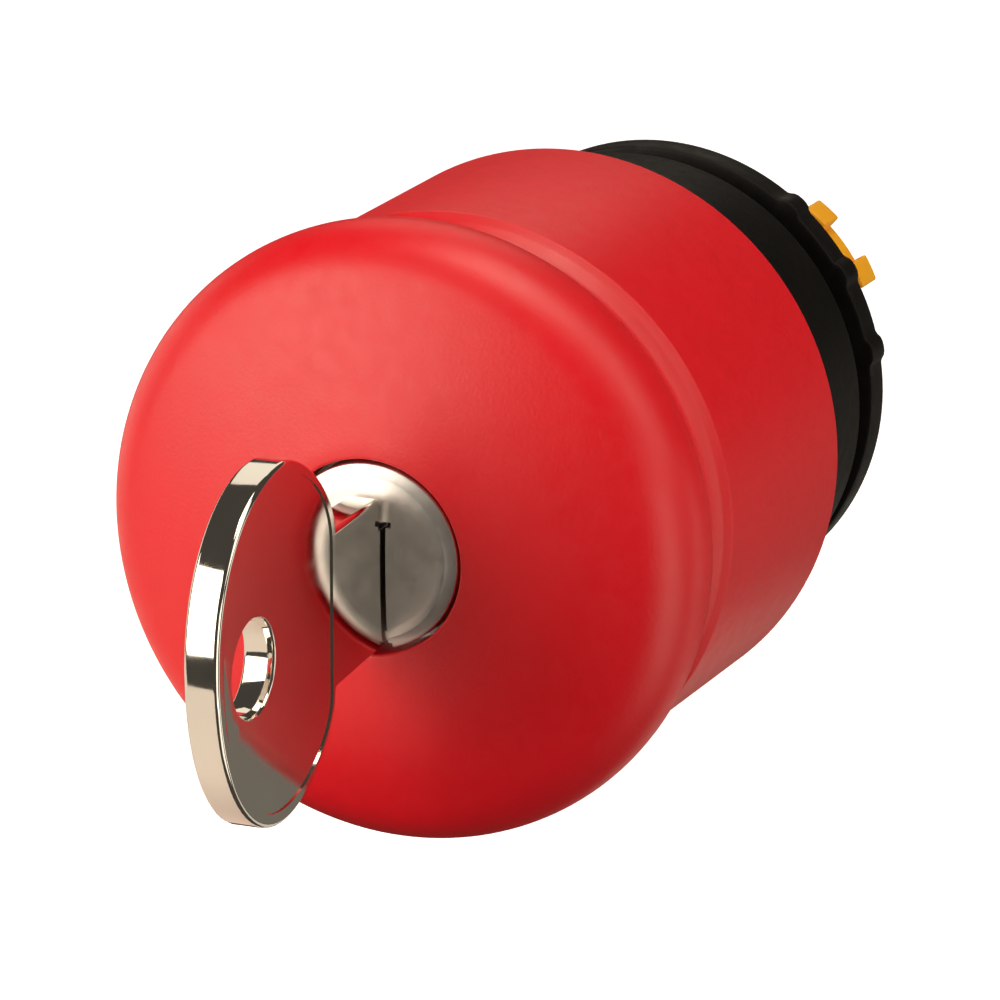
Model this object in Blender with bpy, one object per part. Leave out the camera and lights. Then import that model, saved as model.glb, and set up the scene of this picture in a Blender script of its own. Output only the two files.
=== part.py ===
"""Key-release emergency stop push button: front element for a 22.5 mm panel hole.

World frame: +Z up, the button faces -Y, and the origin is on the button's axis, on the panel's
front plane. Places along the axis are given as depth, in mm, positive in front of the panel.
"""
import math

import bmesh
import bpy
from mathutils import Matrix, Vector

MM = 0.001

# ---- driving dimensions, mm -------------------------------------------------------------
HEAD_RADIUS = 19.0          # widest part of the red mushroom head
LOCK_FACE = 42.0            # depth of the lock's face in front of the panel
SKIRT_FRONT = 28.2          # where the straight skirt starts
SKIRT_REAR = 10.62          # rear edge of the skirt
COLLAR_RADIUS = 14.96
COLLAR_FRONT = 13.5
BARREL_RADIUS = 11.0        # threaded barrel through the panel
BARREL_REAR = -11.5
NUT_FRONT = -2.49
NUT_REAR = -4.6
NUT_RADIUS = 14.74
LUG_RADIUS = 15.08          # small grip lugs on the nut's rim
LUG_ANGLES = (11.5, 31.9, 52.3)     # one group of lugs, degrees; there are three groups
CAP_RADIUS = 5.68           # visible face of the lock plug
PLUG_RADIUS = 5.2
KEY_HALF = 1.1              # half the key's thickness
SLOT_HALF = 1.4             # half the keyway's width
BLADE_TOP = 2.1
KEYWAY_TOP = 2.4
KEY_HOLE = (LOCK_FACE + 17.9, -1.6)     # middle of the ring hole, (depth, z)
STEM_RADIUS = 9.5
SLEEVE_RADIUS = 10.3
GAP = 0.3                   # clearance between neighbouring pieces
WAFER_DEPTHS = (36.0, 33.0, 30.0, 27.0)
LATCH_DEPTH = 9.7           # middle of the two latches
SCREW_DEPTH = 27.0
PIN_DEPTH = -10.8
FOOT_ANGLES = (26.6, 52.3)  # two lobes of one foot of the rear plunger, degrees
FOOT_RADIUS = 10.35         # outer radius of a lobe
FOOT_REAR = -16.5           # rear face of a lobe
CUT = 2.0                   # how far a cutter runs past what it cuts


# ---- helpers ----------------------------------------------------------------------------
def clear_scene():
    for obj in list(bpy.data.objects):
        bpy.data.objects.remove(obj, do_unlink=True)


def material(name, colour, roughness, metallic=0.0):
    mat = bpy.data.materials.new(name)
    mat.use_nodes = True
    shader = mat.node_tree.nodes["Principled BSDF"]
    shader.inputs["Base Color"].default_value = (*colour, 1.0)
    shader.inputs["Roughness"].default_value = roughness
    shader.inputs["Metallic"].default_value = metallic
    mat.diffuse_color = (*colour, 1.0)
    return mat


def place(x, depth, z):
    """World position of a point given by its depth in front of the panel, in mm."""
    return Vector((x, -depth, z)) * MM


def polar(radius, degrees):
    turn = math.radians(degrees)
    return radius * math.cos(turn), radius * math.sin(turn)


def arc(radius, start, end, steps, centre=(0.0, 0.0)):
    """Points on an arc, from start to end degrees, both ends included."""
    points = []
    for i in range(steps + 1):
        u, v = polar(radius, start + (end - start) * i / steps)
        points.append((centre[0] + u, centre[1] + v))
    return points


def bezier(p0, p1, p2, p3, steps):
    """Points on a cubic curve, without its last point."""
    points = []
    for i in range(steps):
        t = i / steps
        s = 1.0 - t
        weights = (s ** 3, 3 * s * s * t, 3 * s * t * t, t ** 3)
        points.append(tuple(sum(w * p[k] for w, p in zip(weights, (p0, p1, p2, p3))) for k in (0, 1)))
    return points


def finish(name, bm, mat):
    """Turn a bmesh into a named object with smooth rounds and sharp edges."""
    bmesh.ops.recalc_face_normals(bm, faces=bm.faces)
    mesh = bpy.data.meshes.new(name)
    bm.to_mesh(mesh)
    bm.free()
    mesh.shade_smooth()
    mesh.set_sharp_from_angle(angle=math.radians(35))
    if mat:
        mesh.materials.append(mat)
    obj = bpy.data.objects.new(name, mesh)
    bpy.context.scene.collection.objects.link(obj)
    return obj


def turned(name, profile, mat, steps=40, hollow=True):
    """Spin a profile of (radius, depth) points about the button's axis.

    A hollow profile is a closed loop; a solid one starts and ends on the axis."""
    bm = bmesh.new()
    verts = [bm.verts.new(place(radius, depth, 0.0)) for radius, depth in profile]
    edges = [bm.edges.new(pair) for pair in zip(verts, verts[1:])]
    if hollow:
        edges.append(bm.edges.new((verts[-1], verts[0])))
    bmesh.ops.spin(bm, geom=verts + edges, cent=(0, 0, 0), axis=(0, 1, 0), dvec=(0, 0, 0),
                   angle=math.tau, steps=steps, use_merge=True, use_duplicate=False)
    bmesh.ops.remove_doubles(bm, verts=bm.verts, dist=1e-6)
    return finish(name, bm, mat)


def prism(name, outline, low, high, mat, along="depth"):
    """Extrude an outline: (x, z) points along the depth, or (depth, z) points along X."""
    def spot(u, v, level):
        return place(u, level, v) if along == "depth" else place(level, u, v)

    bm = bmesh.new()
    verts = [bm.verts.new(spot(u, v, low)) for u, v in outline]
    face = bm.faces.new(verts)
    grown = bmesh.ops.extrude_face_region(bm, geom=[face])
    moved = [item for item in grown["geom"] if isinstance(item, bmesh.types.BMVert)]
    bmesh.ops.translate(bm, verts=moved, vec=spot(0.0, 0.0, high) - spot(0.0, 0.0, low))
    return finish(name, bm, mat)


def ring_prism(name, outer, inner, low, high, mat):
    """Extrude the strip between two loops with the same number of (x, z) points."""
    bm = bmesh.new()
    outside = [bm.verts.new(place(x, low, z)) for x, z in outer]
    inside = [bm.verts.new(place(x, low, z)) for x, z in inner]
    count = len(outer)
    strip = []
    for i in range(count):
        j = (i + 1) % count
        strip.append(bm.faces.new((outside[i], outside[j], inside[j], inside[i])))
    grown = bmesh.ops.extrude_face_region(bm, geom=strip)
    moved = [item for item in grown["geom"] if isinstance(item, bmesh.types.BMVert)]
    bmesh.ops.translate(bm, verts=moved, vec=place(0.0, high - low, 0.0))
    return finish(name, bm, mat)


def box(name, x, depth, z, mat=None):
    """A block between two values on each axis."""
    outline = [(x[0], z[0]), (x[1], z[0]), (x[1], z[1]), (x[0], z[1])]
    return prism(name, outline, depth[0], depth[1], mat)


def rod(name, axis, radius, start, end, depth, mat=None, sides=16, z=0.0):
    """A cylinder along X or Z at one depth, from start to end."""
    turn = {"X": Matrix.Rotation(math.pi / 2, 4, "Y"), "Z": Matrix.Identity(4)}[axis]
    middle = (start + end) / 2
    spot = place(middle, depth, z) if axis == "X" else place(0.0, depth, middle)
    bm = bmesh.new()
    bmesh.ops.create_cone(bm, cap_ends=True, segments=sides, radius1=radius * MM,
                          radius2=radius * MM, depth=(end - start) * MM,
                          matrix=Matrix.Translation(spot) @ turn)
    return finish(name, bm, mat)


def coil(name, axis, radius, wire, start, end, turns, mat, centre=(0.0, 0.0, 0.0), steps=10,
         sides=6):
    """A helical spring along X, Y or Z through a centre given as (x, depth, z)."""
    count = int(turns * steps)
    curve = bpy.data.curves.new(name, "CURVE")
    curve.dimensions = "3D"
    curve.bevel_depth = wire * MM
    curve.bevel_resolution = sides // 2 - 2
    curve.use_fill_caps = True
    spline = curve.splines.new("POLY")
    spline.points.add(count)
    for i, point in enumerate(spline.points):
        u, v = polar(radius, 360.0 * turns * i / count)
        along = start + (end - start) * i / count
        offset = {"X": (along, u, v), "Y": (u, along, v), "Z": (u, v, along)}[axis]
        spot = place(*(c + o for c, o in zip(centre, offset)))
        point.co = (*spot, 1.0)
    curve.materials.append(mat)
    obj = bpy.data.objects.new(name, curve)
    bpy.context.scene.collection.objects.link(obj)
    return obj


def combine(target, other, operation="DIFFERENCE"):
    """Cut a hidden helper out of a piece, or join it on."""
    other.hide_render = True
    other.display_type = "WIRE"
    modifier = target.modifiers.new(other.name, "BOOLEAN")
    modifier.object = other
    modifier.operation = operation
    modifier.solver = "EXACT"


def sector(inner, outer, start, end, steps):
    """Outline of a piece of a ring, in the plane across the axis."""
    return arc(outer, start, end, steps) + arc(inner, end, start, steps)


# ---- fixed body: what is clamped to the panel -------------------------------------------
def make_housing(mat):
    """Collar, threaded barrel and inner guide tube, moulded in one piece."""
    profile = [
        (COLLAR_RADIUS, 0.1), (COLLAR_RADIUS, COLLAR_FRONT - 0.4), (14.6, COLLAR_FRONT),
        (13.4, COLLAR_FRONT), (13.4, 3.0), (11.4, 3.0), (11.4, 13.0), (10.6, 13.0), (10.6, 3.0),
        (9.8, 3.0), (9.8, BARREL_REAR), (10.6, BARREL_REAR), (BARREL_RADIUS, BARREL_REAR + 0.4),
        (BARREL_RADIUS, 1.5), (14.6, 1.5), (14.6, 0.1),
    ]
    housing = turned("housing", profile, mat)
    lug = box("locating_lug", (-1.6, 1.6), (-1.9, 2.0), (10.4, 12.1))
    combine(housing, lug, "UNION")


def make_gasket(mat):
    turned("panel_gasket", [(12.4, 0.0), (14.3, 0.0), (14.3, 1.2), (12.4, 1.2)], mat)


def nut_rim():
    """(angle, radius) points all round the nut: the lugs, and the arcs between them."""
    foot = 3.6
    crest = 1.4
    lugs = [angle + 120.0 * group for group in range(3) for angle in LUG_ANGLES]
    rim = []
    for lug, following in zip(lugs, lugs[1:] + [lugs[0] + 360.0]):
        rim += [(lug - foot, NUT_RADIUS), (lug - crest, LUG_RADIUS), (lug + crest, LUG_RADIUS)]
        start, end = lug + foot, following - foot
        steps = round((end - start) / 6.5)
        rim += [(start + (end - start) * i / steps, NUT_RADIUS) for i in range(steps)]
    return rim


def make_fixing_nut(mat):
    """Round nut with small grip lugs on its rim and four spanner notches in its rear face."""
    rim = nut_rim()
    outer = [polar(radius, turn) for turn, radius in rim]
    inner = [polar(BARREL_RADIUS + GAP, turn) for turn, _ in rim]
    nut = ring_prism("fixing_nut", outer, inner, NUT_FRONT, NUT_REAR, mat)
    for name, size_x, size_z in (("notch_wide", 13.2, 1.2), ("notch_tall", 1.2, 13.2)):
        notch = box(name, (-size_x, size_x), (NUT_REAR - CUT, NUT_REAR + 0.7), (-size_z, size_z))
        combine(nut, notch)


def make_wiper_seal(mat):
    turned("wiper_seal", [(10.6, 13.3), (11.35, 13.3), (11.35, 14.0), (11.0, 14.2), (10.6, 14.2)],
           mat)


# ---- head: what travels when the button is pressed --------------------------------------
def head_profile():
    """Outside from the lock's hole over the dome, belly and neck, and back inside the skirt."""
    cap_radius = 46.0
    cap_centre = -3.83
    belly = 4.2
    belly_centre = (HEAD_RADIUS - belly, 35.26)
    join = math.degrees(math.atan2(belly_centre[1] - cap_centre, belly_centre[0]))
    rim = math.degrees(math.acos(6.2 / cap_radius))
    outside = arc(cap_radius, rim, join, 4, (0.0, cap_centre))
    outside += arc(belly, join, -55.0, 8, belly_centre)[1:]
    outside += [(16.95, 31.0), (16.9, 30.3)]
    outside += arc(1.2, 70.0, 0.0, 3, (17.8 - 1.2, SKIRT_FRONT))
    outside += [(17.66, SKIRT_REAR + 0.25), (17.45, SKIRT_REAR)]
    inside = [
        (16.25, SKIRT_REAR), (16.0, SKIRT_REAR + 0.3), (16.0, 27.2), (15.2, 28.6), (15.2, 35.3),
        (13.2, 37.4), (8.7, 38.2), (8.7, 24.0), (7.1, 24.0), (7.1, 38.8), (5.95, 38.8),
        (5.95, 41.55),
    ]
    return outside + inside


def make_head(mat):
    """Red mushroom head, its skirt and the hub that holds the lock."""
    head = turned("mushroom_head", head_profile(), mat)
    combine(head, rod("hub_screw_hole", "Z", 1.5, -9.2, 9.2, SCREW_DEPTH))


def make_lock_barrel(mat):
    turned("lock_barrel", [(5.5, 21.1), (6.8, 21.1), (6.8, 38.5), (5.5, 38.5)], mat, steps=32)


def make_lock_nut(mat):
    """Hexagon nut that clamps the lock barrel in the hub."""
    flats = 15.0
    corners = arc(flats / 2 / math.cos(math.pi / 6), 0.0, 300.0, 5)
    nut = prism("lock_nut", corners, 21.4, 23.7, mat)
    combine(nut, turned("lock_nut_bore", [(0.0, 20.0), (7.1, 20.0), (7.1, 25.0), (0.0, 25.0)],
                        None, steps=32, hollow=False))


def make_stem(mat):
    """Plunger tube under the head: sleeve, spring flange, guide, grooves and a floor."""
    profile = [
        (0.0, 6.4), (7.9, 6.4), (7.9, 15.0), (9.0, 15.6), (9.0, 31.0), (SLEEVE_RADIUS, 31.0),
        (SLEEVE_RADIUS, 21.5), (13.0, 21.5), (13.0, 20.0), (SLEEVE_RADIUS, 20.0),
        (SLEEVE_RADIUS, 15.0), (STEM_RADIUS, 15.0), (STEM_RADIUS, -4.4), (8.5, -4.4), (8.5, -5.6),
        (STEM_RADIUS, -5.6), (STEM_RADIUS, -11.5), (8.7, -11.5), (8.7, -12.7),
        (STEM_RADIUS, -12.7), (STEM_RADIUS, -13.1), (7.9, -13.1), (7.9, 4.6), (0.0, 4.6),
    ]
    stem = turned("plunger_stem", profile, mat, hollow=False)
    combine(stem, box("latch_window", (-11.0, 11.0), (LATCH_DEPTH - 1.3, LATCH_DEPTH + 1.3),
                      (-2.1, 2.1)))
    combine(stem, rod("stem_screw_hole", "Z", 1.5, -11.5, 11.5, SCREW_DEPTH))
    combine(stem, rod("stem_pin_hole", "Z", 1.1, -11.5, 11.5, PIN_DEPTH))


def make_set_screws(mat):
    """Two grub screws that hold the stem on the head's hub."""
    for name, side in (("set_screw_top", 1.0), ("set_screw_bottom", -1.0)):
        ends = sorted((side * 7.3, side * 10.2))
        screw = rod(name, "Z", 1.2, ends[0], ends[1], SCREW_DEPTH, mat, sides=20)
        socket = sorted((side * 9.2, side * 11.2))
        combine(screw, rod(name + "_socket", "Z", 0.6, socket[0], socket[1], SCREW_DEPTH, sides=6))


def make_stop_ring(mat):
    """Split ring behind the barrel that keeps the head from coming out."""
    prism("stop_ring", sector(9.0, 10.7, -80.0, 260.0, 40), -12.4, -11.8, mat)


def make_o_ring(mat):
    section = arc(0.42, 0.0, 300.0, 5, (9.2, -5.0))
    turned("stem_o_ring", section, mat, steps=32)


def make_contact_plunger(mat):
    """Rear moulding that works the contact blocks: a disc on a spigot, with four lobed feet."""
    profile = [
        (0.0, -13.4), (6.0, -13.4), (6.0, -8.9), (7.6, -8.9), (7.6, -13.4), (9.5, -13.4),
        (9.5, -14.4), (0.0, -14.4),
    ]
    plunger = turned("contact_plunger", profile, mat, hollow=False)
    for foot in range(4):
        low, high = (angle + 90.0 * foot for angle in FOOT_ANGLES)
        bar = sector(7.9, 9.6, low - 2.0, high + 2.0, 6)
        combine(plunger, prism(f"foot_bar_{foot}", bar, FOOT_REAR + 0.3, -14.0, None), "UNION")
        for side, angle in (("low", low), ("high", high)):
            lobe = sector(7.7, FOOT_RADIUS, angle - 4.9, angle + 4.9, 4)
            combine(plunger, prism(f"foot_{side}_{foot}", lobe, FOOT_REAR, -14.2, None), "UNION")
    combine(plunger, rod("plunger_pin_hole", "Z", 1.1, -9.0, 9.0, PIN_DEPTH))


def make_plunger_pins(mat):
    for name, side in (("plunger_pin_top", 1.0), ("plunger_pin_bottom", -1.0)):
        ends = sorted((side * 6.3, side * 9.3))
        rod(name, "Z", 0.8, ends[0], ends[1], PIN_DEPTH, mat, sides=16)


def make_return_spring(mat):
    coil("return_spring", "Y", 12.2, 0.5, 3.85, 19.15, 6, mat, steps=14)


# ---- lock plug and what turns with it ---------------------------------------------------
def make_lock_plug(mat):
    """Turning core of the lock, with its keyway, wafer slots, spring pockets and rear tang."""
    profile = [
        (0.0, LOCK_FACE), (5.0, LOCK_FACE), (5.55, LOCK_FACE - 0.3), (CAP_RADIUS, LOCK_FACE - 0.6),
        (CAP_RADIUS, 38.9), (PLUG_RADIUS, 38.9), (PLUG_RADIUS, 21.1), (4.4, 21.1), (4.4, 19.8),
        (PLUG_RADIUS, 19.8), (PLUG_RADIUS, 19.6), (0.0, 19.6),
    ]
    plug = turned("lock_plug", profile, mat, steps=32, hollow=False)
    combine(plug, box("plug_tang", (-1.5, 1.5), (17.9, 20.2), (-3.0, 3.0)), "UNION")
    combine(plug, box("keyway", (-SLOT_HALF, SLOT_HALF), (22.5, LOCK_FACE + CUT),
                      (-8.0, KEYWAY_TOP)))
    for i, depth in enumerate(WAFER_DEPTHS, 1):
        combine(plug, box(f"wafer_slot_{i}", (-2.6, 2.6), (depth - 0.8, depth + 0.8), (-8.0, 8.0)))
        combine(plug, box(f"spring_pocket_{i}", (2.2, 4.0), (depth - 0.95, depth + 0.95),
                          (-2.2, 2.6)))


def make_retaining_clip(mat):
    """Split clip in the plug's rear groove, behind the lock barrel."""
    prism("retaining_clip", sector(4.7, 6.6, -60.0, 240.0, 24), 20.1, 20.8, mat)


def make_release_cam(mat):
    """Cup driven by the plug's tang, a shaft, and the oval that spreads the two latches."""
    profile = [
        (0.0, 19.2), (5.0, 19.2), (5.0, 16.2), (1.8, 16.2), (1.8, 8.5), (0.0, 8.5),
    ]
    cam = turned("release_cam", profile, mat, steps=32, hollow=False)
    combine(cam, box("tang_slot", (-1.8, 1.8), (17.6, 19.2 + CUT), (-3.3, 3.3)))
    oval = [(3.0 * math.cos(math.tau * i / 32), 2.2 * math.sin(math.tau * i / 32))
            for i in range(32)]
    combine(cam, prism("cam_oval", oval, LATCH_DEPTH - 1.1, LATCH_DEPTH + 1.3, None), "UNION")


def make_wafers(mat, spring_mat):
    """Four wafers round the key's blade, each lifted by a small spring under its ear."""
    half = 2.3
    round_radius = 4.9
    corner = math.degrees(math.acos(half / round_radius))
    for i, depth in enumerate(WAFER_DEPTHS, 1):
        outline = arc(round_radius, corner, 180.0 - corner, 6)
        outline += arc(round_radius, 180.0 + corner, 360.0 - corner, 6)
        outline += [(half, 1.2), (3.7, 1.2), (3.7, 2.0), (half, 2.0)]
        wafer = prism(f"wafer_{i}", outline, depth - 0.5, depth + 0.5, mat)
        combine(wafer, box(f"wafer_window_{i}", (-SLOT_HALF, SLOT_HALF), (depth - 1.5, depth + 1.5),
                           (-4.0, 2.5)))
        coil(f"wafer_spring_{i}", "Z", 0.42, 0.13, -1.9, 0.85, 3.5, spring_mat,
             centre=(3.15, depth, 0.0), steps=6, sides=4)


# ---- latches ----------------------------------------------------------------------------
def make_latches(mat, spring_mat):
    """Two T-shaped latches through the stem's windows, each with a spring round its bar."""
    for name, side in (("left", -1.0), ("right", 1.0)):
        shape = [(3.3, -3.2), (4.9, -3.2), (4.9, -1.8), (10.2, -1.8), (10.2, 1.8), (4.9, 1.8),
                 (4.9, 3.2), (3.3, 3.2)]
        outline = [(side * x, z) for x, z in shape]
        prism(f"latch_{name}", outline, LATCH_DEPTH - 1.0, LATCH_DEPTH + 1.0, mat)
        coil(f"latch_spring_{name}", "X", 2.6, 0.2, side * 5.3, side * 7.0, 3, spring_mat,
             centre=(0.0, LATCH_DEPTH, 0.0))


# ---- key --------------------------------------------------------------------------------
def key_outline():
    """Outline as (depth, z): blade with its cuts, neck, and the rounded bow."""
    blade_low = -3.4
    tip = 23.2
    neck = LOCK_FACE + 6.5
    top = (LOCK_FACE + 13.6, 9.6)
    outer = (LOCK_FACE + 23.0, -0.6)
    bottom = (LOCK_FACE + 14.2, -12.0)
    neck_top = (neck, 3.7)
    neck_low = (neck, -6.0)
    points = [(tip, -1.0), (tip + 1.6, blade_low), (41.3, blade_low), (41.3, -5.3)]
    points += quadrant(neck_low, bottom, 0.45, first="z")
    points += quadrant(bottom, outer, 0.57, first="depth")
    points += quadrant(outer, top, 0.57, first="z")
    points += quadrant(top, neck_top, 0.40, first="depth")
    points += [neck_top, (LOCK_FACE + 0.3, 3.9), (LOCK_FACE + 0.3, BLADE_TOP)]
    for depth, cut in zip(WAFER_DEPTHS, (0.5, 0.3, 0.6, 0.4)):
        points += [(depth + 1.1, BLADE_TOP), (depth + 0.5, BLADE_TOP - cut),
                   (depth - 0.5, BLADE_TOP - cut), (depth - 1.1, BLADE_TOP)]
    return points + [(tip + 1.2, BLADE_TOP), (tip, 0.8)]


def quadrant(start, end, reach, first):
    """A quarter of the bow, leaving along one direction and arriving along the other."""
    du = end[0] - start[0]
    dv = end[1] - start[1]
    if first == "depth":
        p1 = (start[0] + reach * du, start[1])
        p2 = (end[0], end[1] - reach * dv)
    else:
        p1 = (start[0], start[1] + reach * dv)
        p2 = (end[0] - reach * du, end[1])
    return bezier(start, p1, p2, end, 9)


def make_key(mat):
    key = prism("key", key_outline(), -KEY_HALF, KEY_HALF, mat, along="x")
    combine(key, rod("key_hole", "X", 2.95, -3.0, 3.0, KEY_HOLE[0], sides=32, z=KEY_HOLE[1]))


def build():
    clear_scene()
    black = material("black_plastic", (0.012, 0.012, 0.013), 0.5)
    red = material("red_plastic", (0.72, 0.02, 0.015), 0.35)
    yellow = material("yellow_plastic", (0.9, 0.35, 0.02), 0.45)
    rubber = material("black_rubber", (0.02, 0.02, 0.02), 0.8)
    nickel = material("polished_nickel", (0.75, 0.72, 0.68), 0.12, 1.0)
    satin = material("satin_nickel", (0.62, 0.6, 0.57), 0.35, 1.0)
    steel = material("spring_steel", (0.5, 0.5, 0.5), 0.3, 1.0)
    brass = material("brass", (0.75, 0.55, 0.25), 0.3, 1.0)

    make_housing(black)
    make_gasket(rubber)
    make_fixing_nut(black)
    make_wiper_seal(rubber)
    make_head(red)
    make_lock_barrel(satin)
    make_lock_nut(brass)
    make_stem(black)
    make_set_screws(steel)
    make_stop_ring(steel)
    make_o_ring(rubber)
    make_contact_plunger(yellow)
    make_plunger_pins(steel)
    make_return_spring(steel)
    make_lock_plug(satin)
    make_retaining_clip(steel)
    make_release_cam(black)
    make_wafers(brass, steel)
    make_latches(steel, steel)
    make_key(nickel)


build()
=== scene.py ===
"""Looks of a key-release emergency stop push button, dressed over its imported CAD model."""

import math

import bmesh
import bpy
from mathutils import Matrix, Vector


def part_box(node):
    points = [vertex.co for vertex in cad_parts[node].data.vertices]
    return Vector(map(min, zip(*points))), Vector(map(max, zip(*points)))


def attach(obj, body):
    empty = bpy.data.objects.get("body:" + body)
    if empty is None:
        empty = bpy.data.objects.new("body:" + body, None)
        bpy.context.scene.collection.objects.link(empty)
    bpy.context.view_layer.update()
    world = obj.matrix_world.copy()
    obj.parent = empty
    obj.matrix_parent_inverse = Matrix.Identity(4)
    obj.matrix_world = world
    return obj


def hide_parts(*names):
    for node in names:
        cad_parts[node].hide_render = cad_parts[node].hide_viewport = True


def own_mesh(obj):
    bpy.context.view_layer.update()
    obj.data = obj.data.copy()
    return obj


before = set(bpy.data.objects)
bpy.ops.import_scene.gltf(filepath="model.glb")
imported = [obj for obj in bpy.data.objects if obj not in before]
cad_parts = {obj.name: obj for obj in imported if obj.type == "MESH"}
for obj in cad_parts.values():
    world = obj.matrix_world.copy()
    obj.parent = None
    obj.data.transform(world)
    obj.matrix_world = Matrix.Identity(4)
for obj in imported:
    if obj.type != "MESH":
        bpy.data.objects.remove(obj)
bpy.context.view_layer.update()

MM = 0.001
# An edge between faces that turn by more degrees than this stays sharp.
SHARP_EDGE = 35.0
SHARP_EDGE_FLAT = 40.0
# Most of a noise texture's values lie between these.
NOISE_RANGE = (0.3, 0.7)


# ---- geometry helpers -------------------------------------------------------------------
def place(x, depth, z):
    """World position in metres of a point in mm, depth being its distance before the panel."""
    return Vector((x, -depth, z)) * MM


def polar(radius, degrees):
    """(x, z) of a point at a radius, at an angle from +X towards +Z."""
    turn = math.radians(degrees)
    return radius * math.cos(turn), radius * math.sin(turn)


def across(radius, degrees, level):
    """(x, depth, z) of a point at a radius, an angle and a depth."""
    x, z = polar(radius, degrees)
    return x, level, z


def arc(radius, start, end, steps, centre=(0.0, 0.0)):
    """Points on an arc, from start to end degrees, both ends included."""
    points = []
    for i in range(steps + 1):
        u, v = polar(radius, start + (end - start) * i / steps)
        points.append((centre[0] + u, centre[1] + v))
    return points


def bezier(p0, p1, p2, p3, steps):
    """Points on a cubic curve, without its last point."""
    points = []
    corners = (p0, p1, p2, p3)
    for i in range(steps):
        t = i / steps
        s = 1.0 - t
        weights = (s ** 3, 3 * s * s * t, 3 * s * t * t, t ** 3)
        points.append(tuple(sum(w * p[k] for w, p in zip(weights, corners)) for k in (0, 1)))
    return points


def sector(inner, outer, start, end, steps):
    """Outline of a piece of a ring."""
    return arc(outer, start, end, steps) + arc(inner, end, start, steps)


def finish(name, bm, mat):
    """Make an object of a bmesh, smooth but for its sharp edges."""
    bmesh.ops.remove_doubles(bm, verts=bm.verts, dist=1e-7)
    bmesh.ops.recalc_face_normals(bm, faces=bm.faces)
    mesh = bpy.data.meshes.new(name)
    bm.to_mesh(mesh)
    bm.free()
    mesh.shade_smooth()
    mesh.set_sharp_from_angle(angle=math.radians(SHARP_EDGE))
    if mat:
        mesh.materials.append(mat)
    obj = bpy.data.objects.new(name, mesh)
    bpy.context.scene.collection.objects.link(obj)
    return obj


def turned(name, profile, mat, steps=192, hollow=True):
    """Spin a profile of (radius, depth) points about the button's axis."""
    bm = bmesh.new()
    verts = [bm.verts.new(place(radius, depth, 0.0)) for radius, depth in profile]
    edges = [bm.edges.new(pair) for pair in zip(verts, verts[1:])]
    if hollow:
        edges.append(bm.edges.new((verts[-1], verts[0])))
    bmesh.ops.spin(bm, geom=verts + edges, cent=(0, 0, 0), axis=(0, 1, 0), dvec=(0, 0, 0),
                   angle=math.tau, steps=steps, use_merge=True, use_duplicate=False)
    return finish(name, bm, mat)


def prism(name, outline, low, high, mat=None, along="depth"):
    """Extrude an outline: (x, z) points along the depth, or (depth, z) points along X."""
    def spot(u, v, level):
        return place(u, level, v) if along == "depth" else place(level, u, v)

    bm = bmesh.new()
    verts = [bm.verts.new(spot(u, v, low)) for u, v in outline]
    face = bm.faces.new(verts)
    grown = bmesh.ops.extrude_face_region(bm, geom=[face])
    moved = [item for item in grown["geom"] if isinstance(item, bmesh.types.BMVert)]
    bmesh.ops.translate(bm, verts=moved, vec=spot(0.0, 0.0, high) - spot(0.0, 0.0, low))
    return finish(name, bm, mat)


def box(name, x, depth, z):
    """A block, with its lowest and highest x, depth and z."""
    outline = [(x[0], z[0]), (x[1], z[0]), (x[1], z[1]), (x[0], z[1])]
    return prism(name, outline, *depth)


def rod(name, axis, radius, start, end, depth, sides=48, z=0.0):
    """A cylinder along X at a depth and height z, or along Z at a depth."""
    turn = {"X": Matrix.Rotation(math.pi / 2, 4, "Y"), "Z": Matrix.Identity(4)}[axis]
    middle = (start + end) / 2
    spot = place(middle, depth, z) if axis == "X" else place(0.0, depth, middle)
    bm = bmesh.new()
    bmesh.ops.create_cone(bm, cap_ends=True, segments=sides, radius1=radius * MM,
                          radius2=radius * MM, depth=(end - start) * MM,
                          matrix=Matrix.Translation(spot) @ turn)
    return finish(name, bm, None)


def skin(bm, rings, capped=True):
    """Faces between rings of vertices that follow one another, and over the two ends."""
    for a, b in zip(rings, rings[1:]):
        for i in range(len(a)):
            j = (i + 1) % len(a)
            bm.faces.new((a[i], a[j], b[j], b[i]))
    if capped:
        bm.faces.new(rings[0])
        bm.faces.new(rings[-1][::-1])


def apply_modifiers(obj):
    """Replace a piece's mesh with its evaluated one, so that no modifier or cutter is left."""
    graph = bpy.context.evaluated_depsgraph_get()
    mesh = bpy.data.meshes.new_from_object(obj.evaluated_get(graph))
    obj.modifiers.clear()
    obj.data = mesh


def combine(target, others, operation="DIFFERENCE"):
    """Cut shapes out of a piece, or join them on, and drop them."""
    for other in others:
        modifier = target.modifiers.new("shape", "BOOLEAN")
        modifier.object = other
        modifier.operation = operation
        modifier.solver = "EXACT"
        bpy.context.view_layer.update()
        apply_modifiers(target)
        bpy.data.objects.remove(other, do_unlink=True)


def soften(obj, width, segments=3, angle=30.0):
    """Round a piece's sharp edges."""
    modifier = obj.modifiers.new("soft edges", "BEVEL")
    modifier.width = width * MM
    modifier.segments = segments
    modifier.limit_method = "ANGLE"
    modifier.angle_limit = math.radians(angle)
    modifier.use_clamp_overlap = True
    bpy.context.view_layer.update()
    apply_modifiers(obj)
    flatten_shading(obj)


def flatten_shading(obj):
    """Smooth shading in which the large flat faces keep their own normal."""
    obj.data.shade_smooth()
    obj.data.set_sharp_from_angle(angle=math.radians(SHARP_EDGE_FLAT))
    modifier = obj.modifiers.new("weighted", "WEIGHTED_NORMAL")
    modifier.mode = "FACE_AREA"
    modifier.weight = 100
    modifier.keep_sharp = True
    bpy.context.view_layer.update()
    apply_modifiers(obj)


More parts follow.
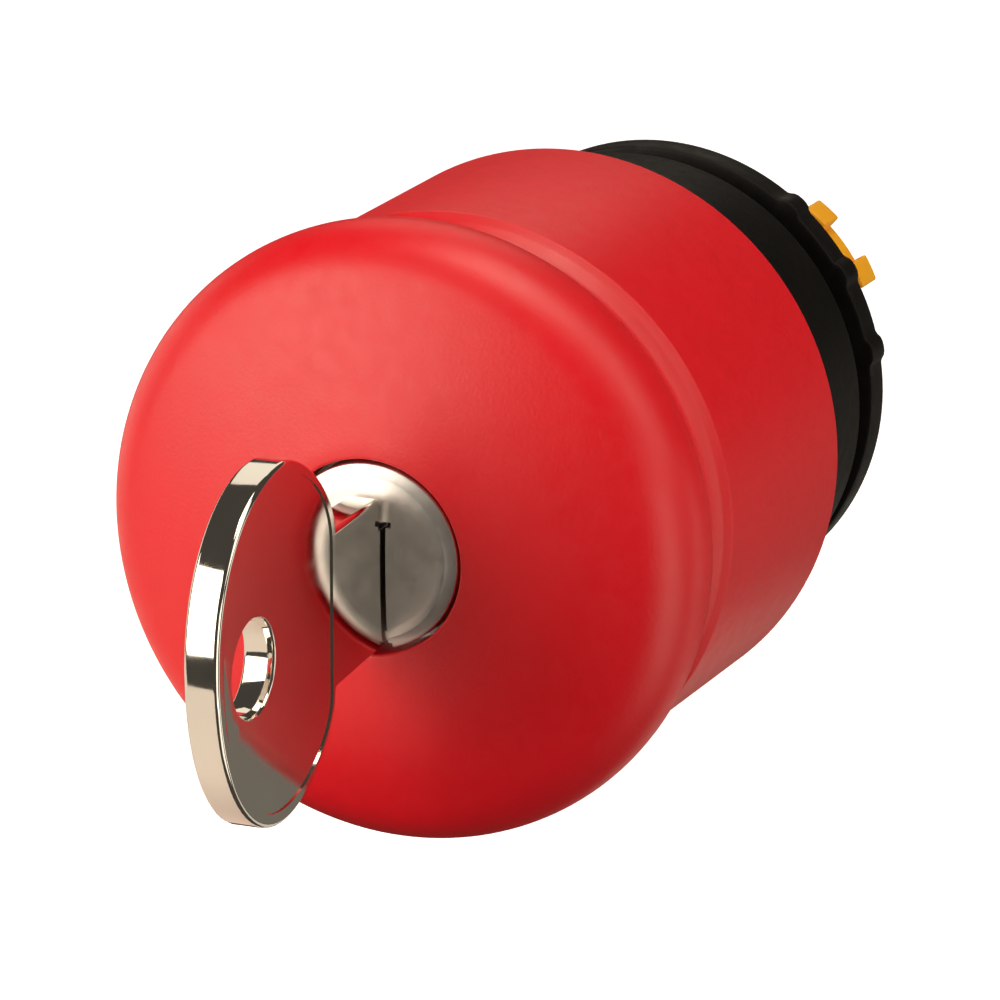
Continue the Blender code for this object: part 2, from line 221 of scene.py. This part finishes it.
# ---- materials --------------------------------------------------------------------------
class Surface:
    """A procedural material built on one Principled shader in object coordinates."""

    def __init__(self, name, **constants):
        self.mat = bpy.data.materials.new(name)
        self.mat.use_nodes = True
        self.nodes = self.mat.node_tree.nodes
        self.links = self.mat.node_tree.links
        self.shader = self.nodes["Principled BSDF"]
        for socket, value in constants.items():
            self.shader.inputs[socket.replace("_", " ")].default_value = value
        self.coords = self.nodes.new("ShaderNodeTexCoord")

    def noise(self, scale, detail, roughness=0.5, stretch=(1, 1, 1)):
        """Cloudy variation, with roughly scale blotches to a metre."""
        mapping = self.nodes.new("ShaderNodeMapping")
        mapping.inputs["Scale"].default_value = stretch
        self.links.new(self.coords.outputs["Object"], mapping.inputs["Vector"])
        node = self.nodes.new("ShaderNodeTexNoise")
        node.inputs["Scale"].default_value = scale
        node.inputs["Detail"].default_value = detail
        node.inputs["Roughness"].default_value = roughness
        self.links.new(mapping.outputs["Vector"], node.inputs["Vector"])
        return node.outputs["Fac"]

    def spread(self, factor, low, high):
        """Stretch a noise over a range of values."""
        node = self.nodes.new("ShaderNodeMapRange")
        node.inputs["From Min"].default_value = NOISE_RANGE[0]
        node.inputs["From Max"].default_value = NOISE_RANGE[1]
        node.inputs["To Min"].default_value = low
        node.inputs["To Max"].default_value = high
        self.links.new(factor, node.inputs["Value"])
        return node.outputs["Result"]

    def colour(self, scale, detail, low, high):
        """Base colour that drifts between two close colours."""
        node = self.nodes.new("ShaderNodeValToRGB")
        for element, position, tint in zip(node.color_ramp.elements, NOISE_RANGE, (low, high)):
            element.position = position
            element.color = (*tint, 1.0)
        self.links.new(self.noise(scale, detail), node.inputs["Fac"])
        self.links.new(node.outputs["Color"], self.shader.inputs["Base Color"])

    def roughness(self, output):
        self.links.new(output, self.shader.inputs["Roughness"])

    def bump(self, output, strength, distance):
        """Fine relief, its height in metres."""
        node = self.nodes.new("ShaderNodeBump")
        node.inputs["Strength"].default_value = strength
        node.inputs["Distance"].default_value = distance
        self.links.new(output, node.inputs["Height"])
        self.links.new(node.outputs["Normal"], self.shader.inputs["Normal"])


def red_plastic():
    """Moulded signal red with a fine satin grain."""
    s = Surface("red_satin_plastic", IOR=1.58)
    s.colour(160.0, 2.0, (0.76, 0.003, 0.012), (0.80, 0.004, 0.015))
    s.roughness(s.spread(s.noise(900.0, 4.0), 0.38, 0.46))
    s.bump(s.noise(4200.0, 3.0, 0.6), 0.55, 0.00003)
    return s.mat


def black_plastic(name, low, high):
    """Matt moulded black, between a darker and a lighter tint."""
    s = Surface(name, IOR=1.27)
    s.colour(200.0, 3.0, low, high)
    s.roughness(s.spread(s.noise(1200.0, 4.0), 0.42, 0.56))
    s.bump(s.noise(5200.0, 3.0, 0.6), 0.3, 0.00003)
    return s.mat


def black_rubber():
    s = Surface("black_rubber", IOR=1.5)
    s.colour(150.0, 3.0, (0.012, 0.012, 0.012), (0.024, 0.023, 0.022))
    s.roughness(s.spread(s.noise(700.0, 3.0), 0.68, 0.85))
    s.bump(s.noise(2500.0, 4.0, 0.6), 0.35, 0.00005)
    return s.mat


def yellow_plastic():
    s = Surface("yellow_plastic", IOR=1.5)
    s.colour(180.0, 2.0, (0.97, 0.42, 0.012), (1.0, 0.48, 0.02))
    s.roughness(s.spread(s.noise(900.0, 3.0), 0.4, 0.52))
    s.bump(s.noise(4000.0, 3.0), 0.2, 0.00003)
    return s.mat


def polished_nickel():
    """Bright plated key: nearly a mirror, with faint waviness and fine rubbed marks."""
    s = Surface("polished_nickel", Metallic=1.0)
    s.colour(120.0, 3.0, (0.78, 0.73, 0.68), (0.84, 0.80, 0.75))
    s.roughness(s.spread(s.noise(700.0, 5.0, 0.65, (1.0, 0.15, 1.0)), 0.035, 0.10))
    s.bump(s.noise(260.0, 2.0), 0.06, 0.0001)
    return s.mat


def satin_nickel():
    """Plated lock face with a fine cloudy grain."""
    s = Surface("satin_nickel", Metallic=1.0)
    s.colour(420.0, 4.0, (0.78, 0.75, 0.74), (0.83, 0.80, 0.79))
    s.roughness(s.spread(s.noise(1300.0, 4.0), 0.36, 0.44))
    s.bump(s.noise(3200.0, 3.0, 0.6), 0.12, 0.00002)
    return s.mat


def spring_steel():
    s = Surface("spring_steel", Metallic=1.0)
    s.colour(300.0, 3.0, (0.42, 0.42, 0.43), (0.58, 0.58, 0.59))
    s.roughness(s.spread(s.noise(900.0, 3.0), 0.22, 0.38))
    s.bump(s.noise(1800.0, 3.0), 0.15, 0.00003)
    return s.mat


def bare_brass():
    s = Surface("bare_brass", Metallic=1.0)
    s.colour(260.0, 3.0, (0.66, 0.45, 0.18), (0.80, 0.58, 0.28))
    s.roughness(s.spread(s.noise(900.0, 3.0), 0.26, 0.42))
    s.bump(s.noise(1800.0, 3.0), 0.15, 0.00003)
    return s.mat


def floor_material():
    s = Surface("pale_floor", Roughness=0.9, Emission_Color=(1.0, 1.0, 1.0, 1.0),
                Emission_Strength=0.8)
    s.colour(6.0, 2.0, (0.90, 0.90, 0.90), (0.93, 0.93, 0.93))
    return s.mat


def board_material():
    s = Surface("bounce_board_paint", Roughness=0.9)
    s.colour(12.0, 2.0, (0.93, 0.88, 0.84), (0.95, 0.90, 0.86))
    return s.mat


RED = red_plastic()
BLACK = black_plastic("black_matt_plastic", (0.002, 0.0015, 0.0015), (0.004, 0.0032, 0.0032))
NUT_BLACK = black_plastic("nut_black_plastic", (0.003, 0.0025, 0.0025), (0.006, 0.005, 0.005))
RUBBER = black_rubber()
YELLOW = yellow_plastic()
NICKEL = polished_nickel()
SATIN = satin_nickel()
STEEL = spring_steel()
BRASS = bare_brass()


# ---- sizes and depths in mm, from the frame where it tells them --------------------------
def depth_range(node):
    """(rear, front) depth of a CAD node, mm."""
    low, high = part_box(node)
    return -high[1] / MM, -low[1] / MM


def node_radius(node):
    """Half of a CAD node's width along X, mm."""
    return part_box(node)[1][0] / MM


def adopt(piece, body, slot, *nodes):
    """Give a piece its body and hide any CAD nodes that it stands for. The slot is not used."""
    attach(piece, body)
    if nodes:
        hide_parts(*nodes)
    return piece


HEAD_RADIUS = 19.0
LOCK_FACE = depth_range("lock_plug")[1]
SKIRT_REAR = depth_range("mushroom_head")[0]
SKIRT_FRONT = SKIRT_REAR + 17.58
SKIRT_RADIUS = 17.66
SHOULDER_RADIUS = 17.8
COLLAR_RADIUS = 14.96
BARREL_REAR, COLLAR_FRONT = depth_range("housing")
NUT_RADIUS = 14.74
NUT_REAR, NUT_FRONT = depth_range("fixing_nut")
KEY_HALF = node_radius("key")
WAFER_DEPTHS = (36.0, 33.0, 30.0, 27.0)


# ---- pieces -----------------------------------------------------------------------------
def make_head():
    """Dome, rolled belly, neck, stepped shoulder and long skirt, with the hub inside."""
    cap_radius = 46.0
    cap_centre = -3.83
    belly = 4.2
    belly_centre = (HEAD_RADIUS - belly, 35.26)
    join = math.degrees(math.atan2(belly_centre[1] - cap_centre, belly_centre[0]))
    rim = math.degrees(math.acos(6.2 / cap_radius))
    # dome, from the lock's hole out to the belly
    profile = arc(0.18, 180.0, rim, 4, (6.13, 41.58))
    profile += arc(cap_radius, rim, join, 12, (0.0, cap_centre))[1:]
    profile += arc(belly, join, -52.0, 28, belly_centre)[1:]
    # neck and shoulder
    profile += bezier((17.386, 31.95), (16.95, 31.4), (16.85, 30.7), (16.9, 30.1), 6)[1:]
    profile += bezier((16.95, 29.85), (17.15, 29.5), (17.5, 29.1), (17.66, 28.9), 6)
    # skirt, out and back in
    profile += arc(0.5, 36.0, 0.0, 6, (SHOULDER_RADIUS - 0.5, SKIRT_FRONT))
    profile += arc(0.35, 0.0, -90.0, 5, (SKIRT_RADIUS - 0.35, SKIRT_REAR + 0.35))
    profile += arc(0.25, 270.0, 180.0, 4, (16.25, SKIRT_REAR + 0.25))
    # inside of the dome, and the hub that holds the lock
    profile += [(16.0, 27.2), (15.2, 28.6), (15.2, 35.3), (13.2, 37.4), (8.7, 38.2)]
    profile += [(8.7, 24.0), (7.1, 24.0), (7.1, 38.8), (5.95, 38.8)]
    head = turned("head_shell", profile, RED)
    combine(head, [rod("screw_hole", "Z", 1.5, -9.2, 9.2, 27.0)])
    return adopt(head, "head", "head_plastic", "mushroom_head")


def make_housing():
    """Collar, guide tube and barrel with a rolled front edge and a locating lug."""
    # collar, then down its inside to the guide tube
    profile = arc(0.2, -90.0, 0.0, 4, (COLLAR_RADIUS - 0.2, 0.3))
    profile += arc(0.5, 0.0, 90.0, 6, (COLLAR_RADIUS - 0.5, COLLAR_FRONT - 0.5))
    profile += [(13.6, COLLAR_FRONT), (13.4, 13.3), (13.4, 3.2), (13.2, 3.0), (11.6, 3.0),
                (11.4, 3.2), (11.4, 13.0), (10.6, 13.0), (10.6, 3.0), (9.8, 3.0)]
    # barrel, and the relief behind the collar
    profile += [(9.8, BARREL_REAR), (10.3, BARREL_REAR), (10.5, BARREL_REAR + 0.3)]
    profile += [(10.5, 0.4), (10.9, 1.5), (14.6, 1.5), (14.6, 0.1)]
    housing = turned("collar_and_barrel", profile, BLACK)
    lug = box("lug", (-1.6, 1.6), (-1.9, 2.0), (10.2, 12.1))
    soften(lug, 0.2)
    combine(housing, [lug], "UNION")
    return adopt(housing, "panel_body", "body_plastic", "housing")


def make_thread():
    """Helical ridge round the barrel."""
    pitch = 1.5
    root, crest, height = 10.42, 10.48, 0.5
    half_root, half_crest = 0.68, 0.12
    rear, front = BARREL_REAR + 0.5, -0.2
    turns = (front - rear) / pitch
    steps = int(turns * 72)
    fade_steps = 24
    bm = bmesh.new()
    rings = []
    for i in range(steps + 1):
        angle = 360.0 * turns * i / steps
        middle = rear + pitch * turns * i / steps
        top = crest + height * min(1.0, i / fade_steps, (steps - i) / fade_steps)
        corners = ((root, -half_root), (root, half_root), (top, half_crest), (top, -half_crest))
        rings.append([bm.verts.new(place(*across(radius, angle, middle + offset)))
                      for radius, offset in corners])
    skin(bm, rings)
    return adopt(finish("barrel_thread", bm, BLACK), "panel_body", "body_plastic")


def nut_rim():
    """(angle, radius) points all round the nut: nine small lugs in three groups, and the arcs."""
    shape = ((-3.8, 0.0), (-3.1, 0.07), (-2.2, 0.24), (-1.2, 0.32), (0.0, 0.34), (1.2, 0.32),
             (2.2, 0.24), (3.1, 0.07))
    half = -shape[0][0]
    lugs = [angle + 120.0 * group for group in range(3) for angle in (11.5, 31.9, 52.3)]
    rim = []
    for lug, following in zip(lugs, lugs[1:] + [lugs[0] + 360.0]):
        rim += [(lug + turn, NUT_RADIUS + rise) for turn, rise in shape]
        start, end = lug + half, following - half
        steps = round((end - start) / 2.5)
        rim += [(start + (end - start) * i / steps, NUT_RADIUS) for i in range(steps)]
    return rim


def make_nut():
    """Round fixing nut: smooth rim with small lugs, chamfered edges, four spanner notches."""
    rim = nut_rim()
    bore = 11.3
    edge, corner = 0.25, 0.08
    notch_reach, notch_half, notch_depth = 13.2, 1.2, 0.7
    levels = ((NUT_FRONT, edge), (NUT_FRONT - corner, corner), (NUT_FRONT - edge, 0.0),
              (NUT_REAR + edge, 0.0), (NUT_REAR + corner, corner), (NUT_REAR, edge))
    bm = bmesh.new()
    outer = [[bm.verts.new(place(*across(radius - inset, turn, level))) for turn, radius in rim]
             for level, inset in levels]
    inner = [[bm.verts.new(place(*across(bore, turn, level))) for turn, _ in rim]
             for level in (NUT_FRONT, NUT_REAR)]
    skin(bm, outer + [inner[1], inner[0], outer[0]], capped=False)
    nut = finish("lugged_nut", bm, NUT_BLACK)
    notches = [box("notch", (-x, x), (NUT_REAR - 2.0, NUT_REAR + notch_depth), (-z, z))
               for x, z in ((notch_reach, notch_half), (notch_half, notch_reach))]
    combine(nut, notches)
    return adopt(nut, "panel_body", "body_plastic", "fixing_nut")


def make_lock_plug():
    """Satin lock face, slightly domed, with a bevelled edge, its keyway, wafer slots and tang."""
    dome = 50.0
    edge = 4.95
    drop = dome - math.sqrt(dome ** 2 - edge ** 2)
    profile = arc(dome, 90.0, math.degrees(math.acos(edge / dome)), 8, (0.0, LOCK_FACE - dome))
    profile[0] = (0.0, LOCK_FACE)  # exactly on the axis
    profile += [(5.0, LOCK_FACE - drop - 0.03), (5.5, LOCK_FACE - 0.52)]
    profile += arc(0.2, 50.0, 0.0, 4, (5.48, LOCK_FACE - 0.7))
    profile += [(5.68, 38.9), (5.2, 38.9), (5.2, 21.1), (4.4, 21.1), (4.4, 19.8), (5.2, 19.8),
                (5.2, 19.6), (0.0, 19.6)]
    plug = turned("lock_core", profile, SATIN, steps=144, hollow=False)
    combine(plug, [box("tang", (-1.5, 1.5), (17.9, 20.2), (-3.0, 3.0))], "UNION")
    front = LOCK_FACE + 2.0
    cutters = [
        box("keyway", (-1.28, 1.28), (22.5, front), (-8.0, 2.2)),
        box("keyway_notch", (-1.2, 1.6), (LOCK_FACE - 1.5, front), (2.0, 2.35)),
        box("keyway_foot", (-1.5, 1.5), (LOCK_FACE - 3.0, front), (-8.0, -5.15)),
    ]
    for depth in WAFER_DEPTHS:
        cutters.append(box("wafer_slot", (-2.6, 2.6), (depth - 0.8, depth + 0.8), (-8.0, 8.0)))
        cutters.append(box("pocket", (2.2, 4.0), (depth - 0.95, depth + 0.95), (-2.2, 2.6)))
    combine(plug, cutters)
    flatten_shading(plug)
    return adopt(plug, "plug", "lock_metal", "lock_plug")


def quadrant(start, end, reach, first, steps=20):
    """A quarter of the bow, leaving along its first direction and arriving along the other."""
    du = end[0] - start[0]
    dv = end[1] - start[1]
    if first == "depth":
        p1 = (start[0] + reach * du, start[1])
        p2 = (end[0], end[1] - reach * dv)
    else:
        p1 = (start[0], start[1] + reach * dv)
        p2 = (end[0] - reach * du, end[1])
    return bezier(start, p1, p2, end, steps)


def key_outline():
    """Outline as (depth, z): blade with its cuts, neck, and the rounded bow."""
    blade_top = 2.1
    blade_low = -3.4
    shoulder = 41.3
    cuts = (0.5, 0.3, 0.6, 0.4)
    tip, end = depth_range("key")
    neck = LOCK_FACE + 6.5
    top = (LOCK_FACE + 13.6, 9.6)
    outer = (end, -0.6)
    bottom = (LOCK_FACE + 14.2, -12.0)
    neck_top = (neck, 3.7)
    neck_low = (neck, -6.0)
    points = [(tip, -1.0), (tip + 1.6, blade_low), (shoulder, blade_low), (shoulder, -5.3)]
    points += quadrant(neck_low, bottom, 0.45, first="z")
    points += quadrant(bottom, outer, 0.57, first="depth")
    points += quadrant(outer, top, 0.57, first="z")
    points += quadrant(top, neck_top, 0.40, first="depth")
    points += [neck_top, (LOCK_FACE + 0.3, 3.9), (LOCK_FACE + 0.3, blade_top)]
    for depth, cut in zip(WAFER_DEPTHS, cuts):
        points += [(depth + 1.1, blade_top), (depth + 0.5, blade_top - cut),
                   (depth - 0.5, blade_top - cut), (depth - 1.1, blade_top)]
    return points + [(tip + 1.2, blade_top), (tip, 0.8)]


def panel_outline():
    """Outline as (depth, z) of the shallow panel inside the bow's raised edge."""
    side = LOCK_FACE + 7.05
    top = (LOCK_FACE + 13.8, 8.75)
    outer = (LOCK_FACE + 22.15, -0.8)
    bottom = (LOCK_FACE + 14.4, -11.15)
    points = quadrant((side, -6.2), bottom, 0.50, first="z")
    points += quadrant(bottom, outer, 0.57, first="depth")
    points += quadrant(outer, top, 0.57, first="z")
    return points + quadrant(top, (side, 2.9), 0.50, first="depth") + [(side, 2.9)]


def make_key():
    """Flat polished key: broken edges, a sunk panel on each side of the bow, and a ring hole."""
    ring_radius = 2.95
    ring_depth = LOCK_FACE + 17.9
    ring_height = -1.6
    sunk = 0.1
    key = prism("flat_key", key_outline(), -KEY_HALF, KEY_HALF, NICKEL, along="x")
    hole = rod("ring_hole", "X", ring_radius, -3.0, 3.0, ring_depth, sides=96, z=ring_height)
    combine(key, [hole])
    soften(key, 0.3, angle=25.0)
    panels = [prism("panel", panel_outline(), KEY_HALF - sunk, KEY_HALF + 1.0, along="x"),
              prism("panel", panel_outline(), -KEY_HALF - 1.0, -KEY_HALF + sunk, along="x")]
    combine(key, panels)
    flatten_shading(key)
    return adopt(key, "key", "key_metal", "key")


def make_contact_plunger():
    """Yellow rear moulding: disc and spigot with four lobed feet."""
    profile = [(0.0, -13.4), (6.0, -13.4), (6.0, -8.9), (7.6, -8.9), (7.6, -13.4), (9.5, -13.4),
               (9.5, -14.4), (0.0, -14.4)]
    plunger = turned("yellow_plunger", profile, YELLOW, steps=96, hollow=False)
    rear = depth_range("contact_plunger")[0]
    lobe_angles = (26.6, 52.3)
    lobe_half = 4.9
    for foot in range(4):
        low, high = (angle + 90.0 * foot for angle in lobe_angles)
        parts = [prism("bar", sector(7.9, 9.6, low - 2.0, high + 2.0, 12), rear + 0.3, -14.0)]
        for angle in (low, high):
            outline = sector(7.7, 10.35, angle - lobe_half, angle + lobe_half, 8)
            lobe = prism("lobe", outline, rear, -14.2)
            soften(lobe, 0.45, segments=4)
            parts.append(lobe)
        combine(plunger, parts, "UNION")
    combine(plunger, [rod("pin_hole", "Z", 1.1, -9.0, 9.0, -10.8)])
    soften(plunger, 0.08, segments=2)
    return adopt(plunger, "head", "signal_plastic", "contact_plunger")


def make_return_spring():
    """Coil spring round the stem."""
    rear, front = depth_range("return_spring")
    wire = 0.5
    coil_radius = node_radius("return_spring") - wire
    turns = 6
    steps = 64 * turns
    sides = 12
    bm = bmesh.new()
    rings = []
    for k in range(steps + 1):
        x, z = polar(coil_radius, 360.0 * turns * k / steps)
        depth = rear + wire + (front - rear - 2 * wire) * k / steps
        ring = []
        for side in range(sides):
            out, along = polar(wire, 360.0 * side / sides)
            scale = 1 + out / coil_radius
            ring.append(bm.verts.new(place(x * scale, depth + along, z * scale)))
        rings.append(ring)
    skin(bm, rings)
    coil = finish("return_coil", bm, STEEL)
    adopt(coil, "head", "spring_steel", "return_spring")
    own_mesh(coil)
    return coil


def dress_cad_nodes():
    """Materials for the CAD pieces. Those that a finer piece replaces don't show."""
    finishes = {
        "plunger_stem": BLACK, "release_cam": BLACK, "panel_gasket": RUBBER, "wiper_seal": RUBBER,
        "stem_o_ring": RUBBER, "lock_barrel": SATIN, "lock_nut": BRASS,
    }
    for name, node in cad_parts.items():
        plain = BRASS if name.startswith("wafer_") and "spring" not in name else STEEL
        node.data.materials.clear()
        node.data.materials.append(finishes.get(name, plain))


# ---- stage ------------------------------------------------------------------------------
# The camera's angles in degrees, and its distance, aim and lens in mm.
AZIMUTH = 22.44
ELEVATION = 15.42
DISTANCE = 600.0
AIM_RIGHT = -8.66
AIM_UP = -7.30
LENS = 344.3
# The rest of the stage is in metres.
FLOOR_HEIGHT = -0.16
FLOOR_RADIUS = 2.0
BACKDROP_CURVE = 1.0
BACKDROP_TOP = 4.0
BOARD_HEIGHT = -0.0198
# Each board's left front corner and its right back corner.
BOARDS = (((-0.10, -0.105), (0.0, -0.048)), ((-0.10, -0.048), (-0.014, 0.03)))
CARD_DISTANCE = 0.9
STUDIO_CENTRE = (0.0, -0.03, 0.0)
WARM = (1.0, 0.91, 0.75)
WORLD_GLOW = 0.06


def make_camera():
    """Camera at the photograph's viewing angle."""
    az, el = math.radians(AZIMUTH), math.radians(ELEVATION)
    outward = Vector((math.sin(az) * math.cos(el), -math.cos(az) * math.cos(el), math.sin(el)))
    right = (-outward).cross(Vector((0, 0, 1))).normalized()
    up = right.cross(-outward)
    data = bpy.data.cameras.new("camera")
    data.lens = LENS
    data.sensor_width = 36.0
    data.clip_start = 0.01
    data.clip_end = 20.0
    camera = bpy.data.objects.new("camera", data)
    bpy.context.scene.collection.objects.link(camera)
    camera.location = outward * DISTANCE * MM
    target = (right * AIM_RIGHT + up * AIM_UP) * MM
    camera.rotation_euler = (target - camera.location).to_track_quat("-Z", "Y").to_euler()
    bpy.context.scene.camera = camera


def card(name, azimuth, elevation, width, height, radiance):
    """A warm softbox that faces the head, placed by degrees to the right of the front and up."""
    out = CARD_DISTANCE * math.cos(math.radians(elevation))
    aim = Vector((out * math.sin(math.radians(azimuth)), -out * math.cos(math.radians(azimuth)),
                  CARD_DISTANCE * math.sin(math.radians(elevation))))
    data = bpy.data.lights.new(name, "AREA")
    data.shape = "RECTANGLE"
    data.size = width
    data.size_y = height
    data.energy = radiance * math.pi * width * height
    data.color = WARM
    light = bpy.data.objects.new(name, data)
    bpy.context.scene.collection.objects.link(light)
    light.location = Vector(STUDIO_CENTRE) + aim
    light.rotation_euler = (-aim).to_track_quat("-Z", "Y").to_euler()
    light.visible_camera = False


def stage_piece(name, bm, mat):
    """Make a piece of the stage, which isn't part of the object."""
    mesh = bpy.data.meshes.new(name)
    bm.to_mesh(mesh)
    bm.free()
    mesh.shade_smooth()
    mesh.materials.append(mat)
    obj = bpy.data.objects.new(name, mesh)
    bpy.context.scene.collection.objects.link(obj)
    return obj


def make_floor():
    """Pale floor that curves up into a round backdrop, and throws no light on the object."""
    bm = bmesh.new()
    profile = [(0.0, FLOOR_HEIGHT)]
    profile += arc(BACKDROP_CURVE, -90.0, 0.0, 18, (FLOOR_RADIUS, FLOOR_HEIGHT + BACKDROP_CURVE))
    profile += [(FLOOR_RADIUS + BACKDROP_CURVE, BACKDROP_TOP)]
    verts = [bm.verts.new((x, 0.0, z)) for x, z in profile]
    edges = [bm.edges.new(pair) for pair in zip(verts, verts[1:])]
    bmesh.ops.spin(bm, geom=verts + edges, cent=(0, 0, 0), axis=(0, 0, 1), dvec=(0, 0, 0),
                   angle=math.tau, steps=64, use_merge=True, use_duplicate=False)
    bmesh.ops.remove_doubles(bm, verts=bm.verts, dist=1e-6)
    floor = stage_piece("floor", bm, floor_material())
    floor.visible_diffuse = False
    floor.visible_glossy = False
    floor.visible_shadow = False


def make_boards():
    """White boards just below the head's level, left under the key and left of the head.

    They bounce light up, and the camera doesn't see them.
    """
    bm = bmesh.new()
    for (left, front), (right, back) in BOARDS:
        corners = ((left, front), (right, front), (right, back), (left, back))
        bm.faces.new([bm.verts.new((x, y, BOARD_HEIGHT)) for x, y in corners])
    boards = stage_piece("bounce_boards", bm, board_material())
    boards.visible_camera = False


def make_lights():
    """Bright softboxes on the left, the right and above, dim cards round the rest, a faint glow."""
    world = bpy.data.worlds.new("studio")
    world.use_nodes = True
    background = world.node_tree.nodes["Background"]
    background.inputs["Color"].default_value = (*WARM, 1.0)
    background.inputs["Strength"].default_value = WORLD_GLOW
    bpy.context.scene.world = world
    card("main_softbox", -36, 16, 0.9, 0.8, 3.5)
    card("right_softbox", 90, 38, 0.5, 0.8, 1.8)
    card("front_right_card", 68, -8, 0.5, 0.6, 2.0)
    card("top_card", 60, 82, 0.5, 0.5, 5.0)
    card("back_left_card", -160, 40, 0.5, 0.5, 1.0)
    card("left_card", -110, 0, 0.8, 0.5, 1.0)
    card("low_right_card", 80, -36, 0.5, 0.4, 1.4)
    card("back_low_card", 155, -38, 1.0, 0.3, 0.6)
    card("back_dim_card", 158, -15, 0.6, 0.3, 0.12)
    card("right_low_card", 125, -12, 0.3, 0.5, 1.2)
    bpy.context.scene.view_settings.view_transform = "Standard"


make_head()
make_housing()
make_thread()
make_nut()
make_lock_plug()
make_key()
make_contact_plunger()
make_return_spring()
dress_cad_nodes()
make_camera()
make_floor()
make_boards()
make_lights()
